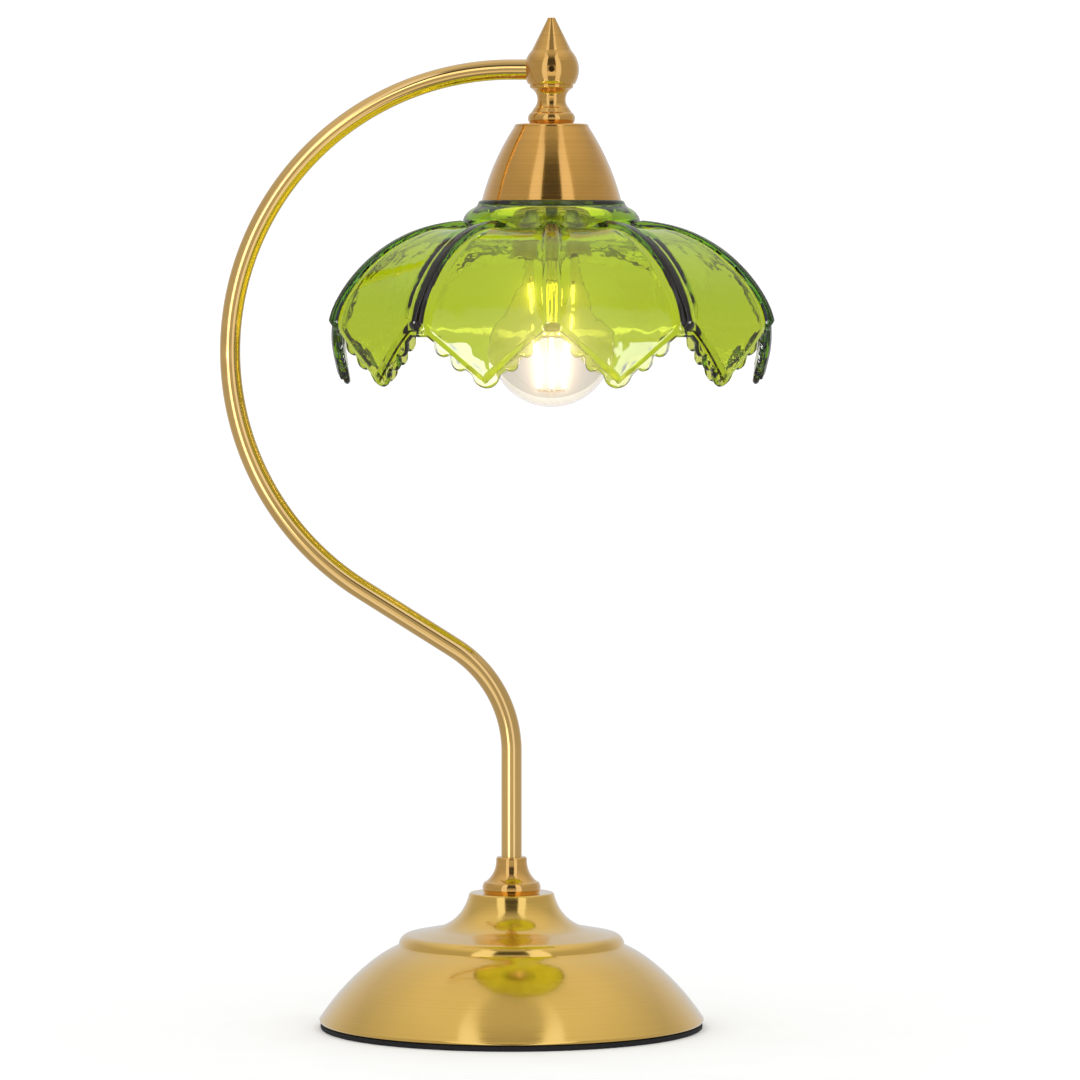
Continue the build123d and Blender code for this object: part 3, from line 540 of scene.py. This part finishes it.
# One petal as a grid. Its columns stand closer at the ribs, and have a pair at each flank of a lobe.
lobe_part, rib_part, lobe_steps, rib_steps = 0.73, 0.27, 30, 14
lobe_columns = [lobe_part * step / lobe_steps for step in range(lobe_steps)]
rib_columns = [lobe_part + rib_part * step / rib_steps for step in range(rib_steps + 1)]
flank_columns = [0.2156, 0.2246, 0.5, 0.5074, 0.7274, 0.7347]
flank_room = 0.006
half_columns = sorted(flank_columns + [
    share for share in lobe_columns + rib_columns
    if min(abs(share - flank) for flank in flank_columns) > flank_room])
columns = [-share for share in reversed(half_columns[1:])] + half_columns
collar_rows = [(20.7, 399.0), (20.7, 401.5), (20.7, 403.7), (21.0, 404.0), (34.6, 404.0), (35.2, 403.8),
               (35.6, 403.2), (35.9, 402.4), (36.3, 401.6), (36.9, 400.9), (38.2, 400.3), (39.7, 399.4),
               (41.1, 398.2), (42.2, 396.7), (42.9, 395.2), (43.1, 393.9), (42.9, 392.9)]
throat_rows = [(41.5, 386.4), (38.5, 386.2), (35.5, 386.6), (32.5, 388.2), (30.5, 390.8), (29.6, 394.0),
               (29.6, 397.0), (30.4, 399.0)]
edge_gaps = (9.0, 6.6, 4.6, 3.3, 2.85, 2.55, 1.7, 0.8, 0.2, 0.0, -0.12, -0.28, -0.4, -0.65)
flange_shares, inner_flange_shares = (0.3, 0.6, 0.85, 1.0), (0.0, 0.35, 0.7)
panel_rows, inner_rows = 24, 14
panel_start = 4.5
grid = []
for across in columns:
    line = [ring_point(radius, height, across) for radius, height in collar_rows]
    edge_runs = [run_to(across, point_line, gap * edge_lean) for gap in edge_gaps]
    end = run_to(across, scallop_line, edge_round)
    panel_length = edge_runs[0] - panel_start
    runs = [panel_start + panel_length * step / panel_rows for step in range(panel_rows)] + edge_runs
    runs += [edge_runs[-1] + (end - edge_runs[-1]) * share for share in flange_shares]
    line += [outer_point(run, across) for run in runs]
    line += round_edge(end, across)
    runs = [end + (edge_runs[-1] - end) * share for share in inner_flange_shares] + edge_runs[-1:0:-2]
    runs += [panel_start + panel_length * step / inner_rows for step in range(inner_rows, -1, -1)]
    line += [inner_point(run, across) for run in runs]
    line += [ring_point(radius, height, across) for radius, height in throat_rows]
    grid.append(line)

rows = len(grid[0])
seam_gap = 0.00002
bpy.ops.object.select_all(action="DESELECT")
bpy.ops.mesh.primitive_grid_add(x_subdivisions=len(columns) - 1, y_subdivisions=rows, size=0.2)
shade = bpy.context.object
shade.name = "petal_shade"
shade.data.name = "petal_shade"
points = []
for row in range(rows + 1):
    for column in range(len(columns)):
        reach, side, height = grid[column][row % rows]
        points.extend((reach * mm, side * mm, height * mm))
shade.data.vertices.foreach_set("co", points)
bpy.ops.object.mode_set(mode="EDIT")
bpy.ops.mesh.select_all(action="SELECT")
bpy.ops.transform.rotate(value=pi / 2 - half_turn, orient_axis="Z", center_override=(0, 0, 0))
bpy.ops.mesh.spin(steps=petals, angle=2 * pi, dupli=True, center=(0, 0, 0), axis=(0, 0, 1))
bpy.ops.mesh.select_all(action="SELECT")
bpy.ops.transform.translate(value=(head_axis * mm, 0, 0))
bpy.ops.mesh.remove_doubles(threshold=seam_gap)
bpy.ops.mesh.normals_make_consistent(inside=False)
bpy.ops.object.mode_set(mode="OBJECT")
bpy.ops.object.shade_smooth_by_angle(angle=radians(50))

# Green soda glass: clear and hard, and the thicker it is, the darker its green, as in the ribs and edges.
# The mould leaves soft waves in its skin, about 11 mm long.
green_glass, green_shader = new_finish("pressed_soda_glass_green", Base_Color=linear("#FFFFFF"),
                                       Roughness=0.0, IOR=1.5, Transmission_Weight=1.0)
green_place = add_node(green_glass, "ShaderNodeTexCoord")
green_wave = add_node(green_glass, "ShaderNodeTexNoise", {"Vector": green_place.outputs["Object"],
                                                          "Scale": 90.0, "Detail": 2.0})
green_skin = add_node(green_glass, "ShaderNodeBump", {"Height": green_wave.outputs["Fac"], "Strength": 0.15,
                                                      "Distance": 0.0008})
green_depth = add_node(green_glass, "ShaderNodeVolumeAbsorption", {"Color": linear("#F5FA1C"),
                                                                   "Density": 400.0})
green_output = green_glass.node_tree.nodes["Material Output"]
join(green_glass, green_skin.outputs["Normal"], green_shader.inputs["Normal"])
join(green_glass, green_depth.outputs["Volume"], green_output.inputs["Volume"])
shade.data.materials.append(green_glass)
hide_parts("glass_shade")
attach(shade, "shade")

# Bulb. A blown clear globe on a nickel plated screw cap, with a glass stem that carries
# four straight filaments on thin wires. It is lit.
# The glass is clear with a breath of haze, the nickel bright, the insulator black, the lit phosphor warm.
bulb_outline = [
    (0, 303.5, 0, 0), (30.0, 333.5, -8.787, 0), (23.64, 351.97, -1.55, 0), (15.4, 364.0, -0.25, 0),
    (12.6, 383.5, 1.4, 0), (12.6, 387.0, 0, 0), (11.8, 387.0, 0, 0), (11.8, 383.5, 0, 0),
    (14.6, 364.0, -1.4, 0), (23.0, 351.5, 0.25, 0), (29.2, 333.5, 1.5, 0), (0, 304.3, 8.55, 0),
]
globe = turned_piece("bulb_globe", head_axis, bulb_outline, 96)
clear_glass, clear_shader = new_finish("blown_glass_clear", Base_Color=linear("#FAF6F4"), IOR=1.46,
                                       Transmission_Weight=1.0)
clear_place = add_node(clear_glass, "ShaderNodeTexCoord")
clear_haze = add_node(clear_glass, "ShaderNodeTexNoise", {"Vector": clear_place.outputs["Object"],
                                                          "Scale": 60.0})
clear_gloss = add_node(clear_glass, "ShaderNodeMapRange", {"Value": clear_haze.outputs["Fac"],
                                                           "To Min": 0.0, "To Max": 0.02})
join(clear_glass, clear_gloss.outputs["Result"], clear_shader.inputs["Roughness"])
globe.data.materials.append(clear_glass)
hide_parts("bulb_glass")
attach(globe, "bulb")
dress(clear_glass, "bulb_stem")

nickel = mottled("nickel_plated_brass", "#CFCCC4", "#B4B1A8", 3.0, 0.15, 0.3, 0.02, Metallic=1.0)
black_glass = mottled("black_glass_insulator", "#1B1B1F", "#101013", 2.0, 0.1, 0.25, 0.02)
phosphor = mottled("lit_phosphor_filament", "#F5C766", "#E9B450", 0.8, 0.4, 0.5, 0.02,
                   Emission_Color=linear("#FFE6BC"), Emission_Strength=5.0)
dress(nickel, "bulb_cap", "bulb_contact", "bulb_wires")
dress(black_glass, "bulb_insulator")
dress(phosphor, "bulb_filaments")

# Floor. A plain pale sweep of matt paper, wide enough for every view.
# It is left out of mirror images, where the lower part of the room takes its place.
bpy.ops.object.select_all(action="DESELECT")
bpy.ops.mesh.primitive_circle_add(vertices=64, radius=4.0, fill_type="NGON")
floor = bpy.context.object
floor.name = "pale_floor"
paper = mottled("matt_paper_white", "#FDFDFD", "#FBFBFB", 40.0, 0.8, 0.9, 0.01)
floor.data.materials.append(paper)
floor.visible_glossy = False

# Studio. A white room with two tall soft boxes in front, one each side of the camera, which the brass
# mirrors with the dark gap between them. What the glass bends far aside comes from the room's dim ends.
world = bpy.data.worlds.new("white_room")
world.use_nodes = True
world.cycles.sampling_method = "NONE"
bpy.context.scene.world = world
sky = world.node_tree.nodes["Background"]
way = add_node(world, "ShaderNodeTexCoord")
ways = add_node(world, "ShaderNodeSeparateXYZ", {"Vector": way.outputs["Generated"]})

# How far aside of the camera a ray looks. High up the boxes lean apart: the splay is taken off there.
to_front = add_node(world, "ShaderNodeMath", {0: ways.outputs["Y"], 1: -1.0}, operation="MULTIPLY")
turned_aside = add_node(world, "ShaderNodeMath", {0: ways.outputs["X"], 1: to_front.outputs["Value"]},
                        operation="ARCTAN2")
either_side = add_node(world, "ShaderNodeMath", {0: turned_aside.outputs["Value"]}, operation="ABSOLUTE")
splay = add_node(world, "ShaderNodeMapRange", {"Value": ways.outputs["Z"], "From Min": 0.8,
                                               "From Max": 0.975, "To Min": 0.0, "To Max": radians(24)})
aside = add_node(world, "ShaderNodeMath", {0: either_side.outputs["Value"], 1: splay.outputs["Result"]},
                 operation="SUBTRACT")

# The walls are paler high up and a little paler at the rear.
wall_tone, high_tone, rear_lift = 0.5, 0.76, 0.15
high = add_node(world, "ShaderNodeMapRange", {"Value": ways.outputs["Z"], "From Min": 0.5, "From Max": 0.85,
                                              "To Min": wall_tone, "To Max": high_tone})
rear = add_node(world, "ShaderNodeMapRange", {"Value": ways.outputs["Y"], "From Min": 0.4, "From Max": 0.95,
                                              "To Min": 0.0, "To Max": rear_lift},
                interpolation_type="SMOOTHSTEP")
walls = add_node(world, "ShaderNodeMath", {0: high.outputs["Result"], 1: rear.outputs["Result"]},
                 operation="ADD")

# The gap between the boxes, from below to above: a share of the way up, and its tone.
gap_tones = ((0.25, 0.3), (0.29, 0.95), (0.40, 0.95), (0.43, 0.5),
             (0.60, 0.5), (0.66, 0.08), (0.86, 0.08), (0.96, 0.56))
way_up = add_node(world, "ShaderNodeMapRange", {"Value": ways.outputs["Z"], "From Min": -1.0,
                                                "From Max": 1.0})
gap_depth = add_node(world, "ShaderNodeValToRGB", {"Fac": way_up.outputs["Result"]})
for share, tone in gap_tones[2:]:
    gap_depth.color_ramp.elements.new(share)
for element, (share, tone) in zip(gap_depth.color_ramp.elements, gap_tones):
    element.position = share
    element.color = (tone, tone, tone, 1.0)

# The boxes stand 18 to 42 degrees aside. High up their inner edge softens, and they fade out at the top.
box_tone, box_start, box_end, box_fade = 1.1, radians(18), radians(40), radians(42)
soft = add_node(world, "ShaderNodeMapRange", {"Value": ways.outputs["Z"], "From Min": 0.85, "From Max": 0.97,
                                              "To Min": radians(20), "To Max": radians(40)})
box_inner = add_node(world, "ShaderNodeMapRange", {"Value": aside.outputs["Value"], "From Min": box_start,
                                                   "From Max": soft.outputs["Result"]})
box_outer = add_node(world, "ShaderNodeMapRange", {"Value": aside.outputs["Value"], "From Min": box_end,
                                                   "From Max": box_fade, "To Min": 1.0, "To Max": 0.0})
box_top = add_node(world, "ShaderNodeMapRange", {"Value": ways.outputs["Z"], "From Min": sin(radians(59)),
                                                 "From Max": sin(radians(80)),
                                                 "To Min": 1.0, "To Max": 0.0})
box_sides = add_node(world, "ShaderNodeMath", {0: box_inner.outputs["Result"],
                                               1: box_outer.outputs["Result"]}, operation="MULTIPLY")
boxes = add_node(world, "ShaderNodeMath", {0: box_sides.outputs["Value"], 1: box_top.outputs["Result"]},
                 operation="MULTIPLY")
behind = add_node(world, "ShaderNodeMix", {0: box_inner.outputs["Result"], 2: gap_depth.outputs["Color"],
                                           3: walls.outputs["Value"]})
room = add_node(world, "ShaderNodeMix", {0: boxes.outputs["Value"], 2: behind.outputs[0], 3: box_tone})

# Each kind of ray sees its own part: a mirror the room, the glass its bright and dim ends, the rest white.
white_tone, dim_end, bright_end = 1.12, 0.1, 1.6
level = add_node(world, "ShaderNodeMath", {0: ways.outputs["Y"]}, operation="ABSOLUTE")
bent = add_node(world, "ShaderNodeMapRange", {"Value": level.outputs["Value"], "From Min": 0.6,
                                              "From Max": 0.96, "To Min": dim_end, "To Max": bright_end},
                interpolation_type="SMOOTHSTEP")
rays = add_node(world, "ShaderNodeLightPath")
through = add_node(world, "ShaderNodeMix", {0: rays.outputs["Is Transmission Ray"], 2: white_tone,
                                            3: bent.outputs["Result"]})
mirrored = add_node(world, "ShaderNodeMix", {0: rays.outputs["Is Glossy Ray"], 2: through.outputs[0],
                                             3: room.outputs[0]})
mirrored_box = add_node(world, "ShaderNodeMath", {0: boxes.outputs["Value"],
                                                  1: rays.outputs["Is Glossy Ray"]}, operation="MULTIPLY")
white_light, cool_light = (1, 1, 1, 1), (0.95, 1.0, 1.25, 1)
daylight = add_node(world, "ShaderNodeMix", {0: mirrored_box.outputs["Value"], 6: white_light,
                                             7: cool_light}, data_type="RGBA")
world.node_tree.links.new(daylight.outputs[2], sky.inputs["Color"])
world.node_tree.links.new(mirrored.outputs[0], sky.inputs["Strength"])

# Soft panels beside the camera, each for one piece alone. Two low ones give the white shine on the lips
# of the glass, and a ring of four gives the bright line along the bow of the arm.
glass_only = bpy.data.collections.new("glass_only")
glass_only.objects.link(shade)
arm_only = bpy.data.collections.new("arm_only")
arm_only.objects.link(arm)


def soft_panel(name, place, aim, size, power, takers):
    """A soft light that faces a point and lights only its takers, unseen by the camera and through glass."""
    data = bpy.data.lights.new(name, "AREA")
    data.shape = "RECTANGLE"
    data.size, data.size_y = size
    data.energy = power
    panel = bpy.data.objects.new(name, data)
    panel.location = place
    panel.rotation_euler = (aim - panel.location).to_track_quat("-Z", "Y").to_euler()
    panel.visible_camera = False
    panel.visible_transmission = False
    panel.light_linking.receiver_collection = takers
    bpy.context.scene.collection.objects.link(panel)


low_reach, low_level, low_size = 0.5, 0.16, (0.17, 0.32)
below_shade = Vector((head_axis * mm, 0, low_level))
for name, azimuth, power in (("left_low_panel", -43, 2.3), ("right_low_panel", 43, 1.5)):
    angle = radians(azimuth)
    place = (head_axis * mm + low_reach * sin(angle), -low_reach * cos(angle), low_level)
    soft_panel(name, place, below_shade, low_size, power, glass_only)

ring_reach, ring_front, ring_size, ring_power = 0.56, 0.9, (0.36, 0.36), 0.65
ring_middle = Vector(bow_centre)
for turn in (95, 130, 165, 200):
    out = Vector((cos(radians(turn)), 0, sin(radians(turn))))
    place = ring_middle + out * ring_reach + Vector((0, -ring_front, 0))
    bow_point = ring_middle + out * bow_radius * mm
    soft_panel(f"ring_panel_{turn}", place, bow_point, ring_size, ring_power, arm_only)

# Camera. A long lens, 3 m in front and 0.38 m up, looking slightly down, as in the photo.
camera_x, camera_distance, camera_height, target_height = 0.0139, 3.0, 0.380, 0.2387
camera_data = bpy.data.cameras.new("camera")
camera_data.lens = 205.3
camera_data.sensor_width = 36.0
camera = bpy.data.objects.new("camera", camera_data)
camera.location = (camera_x, -camera_distance, camera_height)
target = Vector((camera_x, 0, target_height))
camera.rotation_euler = (target - camera.location).to_track_quat("-Z", "Y").to_euler()
bpy.context.scene.collection.objects.link(camera)
bpy.context.scene.camera = camera
bpy.context.scene.view_settings.view_transform = "Standard"
bpy.context.scene.cycles.max_bounces = 24
bpy.context.scene.cycles.transmission_bounces = 24
bpy.context.scene.cycles.sample_clamp_indirect = 6.0

# Glow round the lit filaments, as a lens gives it.
glow_from, glow_strength, glow_size = 1.35, 6.0, 0.5
bpy.context.scene.use_nodes = True
lens = bpy.context.scene.node_tree
taken = lens.nodes["Render Layers"]
glow = lens.nodes.new("CompositorNodeGlare")
glow.glare_type = "BLOOM"
glow.inputs["Threshold"].default_value = glow_from
glow.inputs["Strength"].default_value = glow_strength
glow.inputs["Size"].default_value = glow_size
lens.links.new(taken.outputs["Image"], glow.inputs["Image"])
lens.links.new(glow.outputs["Image"], lens.nodes["Composite"].inputs["Image"])
